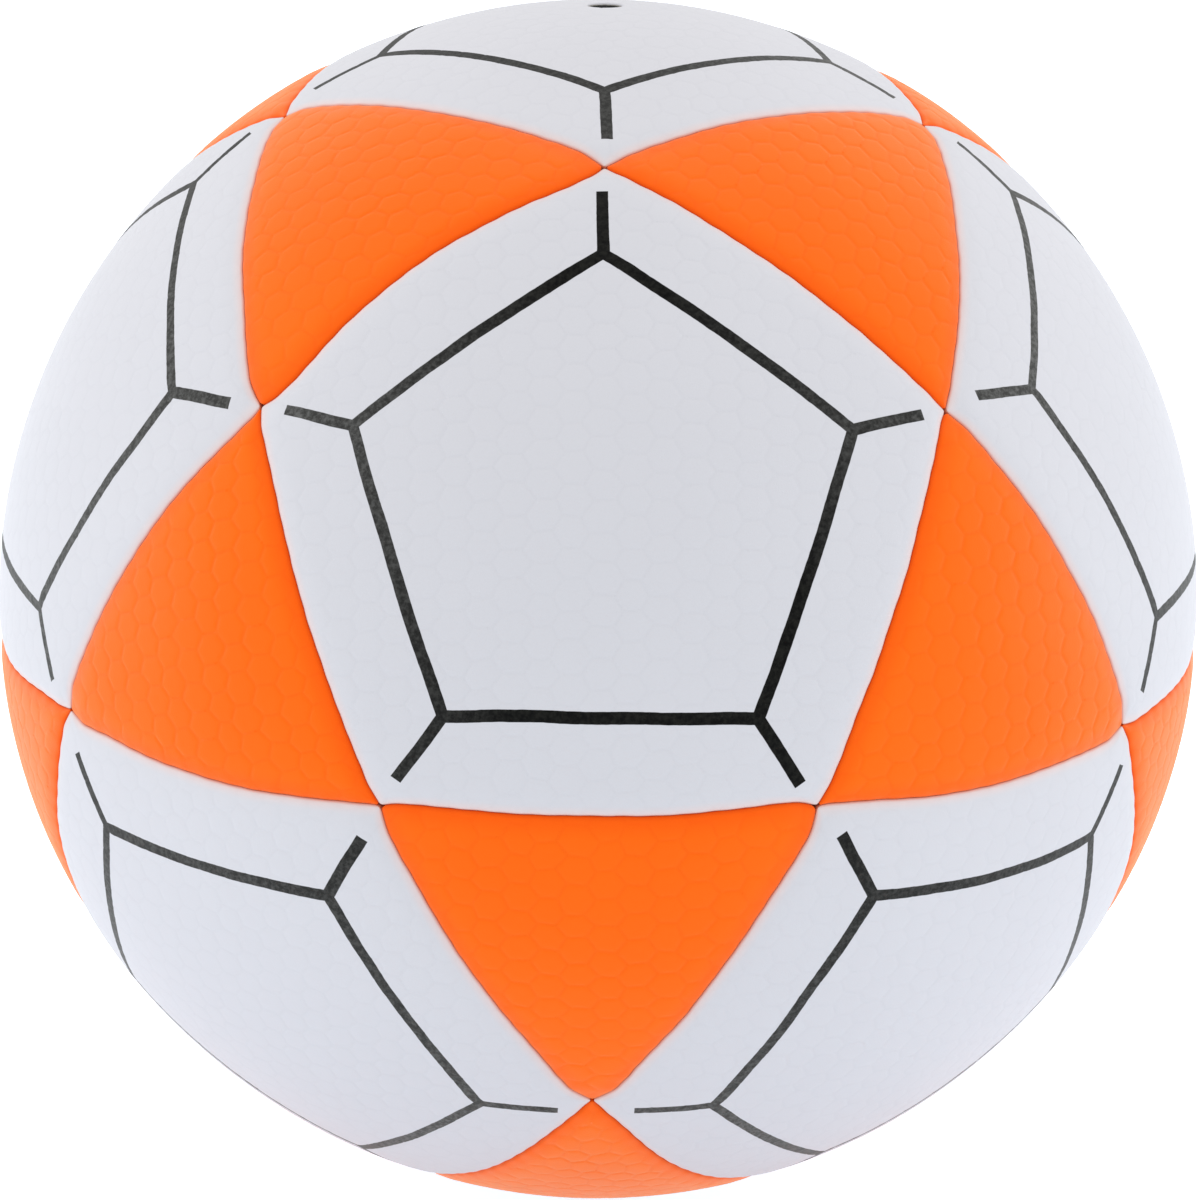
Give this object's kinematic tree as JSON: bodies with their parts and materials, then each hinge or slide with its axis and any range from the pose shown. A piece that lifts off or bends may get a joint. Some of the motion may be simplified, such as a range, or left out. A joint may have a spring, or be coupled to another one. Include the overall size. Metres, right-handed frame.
{
  "type": "korfball",
  "caption": "Inflated ball with a hand-stitched cover of white pentagons and orange triangles round a rubber bladder, with a needle valve in one pentagon.",
  "frame": {"origin": "centre of the ball", "axes": "+Z out through the valve at the middle of one white panel; -Y below the middle of a neighbouring white panel, whose centre lies 26.57 degrees above the XY plane"},
  "size_m": [0.2192, 0.2192, 0.2197],
  "materials": {
    "white_cover": "white synthetic leather with a shallow hexagon emboss and satin sheen; a thin black line figure is printed on it",
    "orange_cover": "orange synthetic leather with a shallow hexagon emboss and satin sheen",
    "bladder_rubber": "black butyl rubber",
    "valve_rubber": "black moulded rubber, matt",
    "patch_textile": "woven textile backing"
  },
  "bodies": {
    "root": {"white_panel_valve": "white_cover", "white_panel_upper_1": "white_cover", "white_panel_upper_2": "white_cover", "white_panel_upper_3": "white_cover", "white_panel_upper_4": "white_cover", "white_panel_upper_5": "white_cover", "white_panel_lower_1": "white_cover", "white_panel_lower_2": "white_cover", "white_panel_lower_3": "white_cover", "white_panel_lower_4": "white_cover", "white_panel_lower_5": "white_cover", "white_panel_base": "white_cover", "orange_panel_cap_1": "orange_cover", "orange_panel_cap_2": "orange_cover", "orange_panel_cap_3": "orange_cover", "orange_panel_cap_4": "orange_cover", "orange_panel_cap_5": "orange_cover", "orange_panel_upper_1": "orange_cover", "orange_panel_upper_2": "orange_cover", "orange_panel_upper_3": "orange_cover", "orange_panel_upper_4": "orange_cover", "orange_panel_upper_5": "orange_cover", "orange_panel_lower_1": "orange_cover", "orange_panel_lower_2": "orange_cover", "orange_panel_lower_3": "orange_cover", "orange_panel_lower_4": "orange_cover", "orange_panel_lower_5": "orange_cover", "orange_panel_base_1": "orange_cover", "orange_panel_base_2": "orange_cover", "orange_panel_base_3": "orange_cover", "orange_panel_base_4": "orange_cover", "orange_panel_base_5": "orange_cover", "bladder": "bladder_rubber", "valve_housing": "valve_rubber", "valve_core": "valve_rubber", "valve_patch": "patch_textile"}
  },
  "joints": []
}
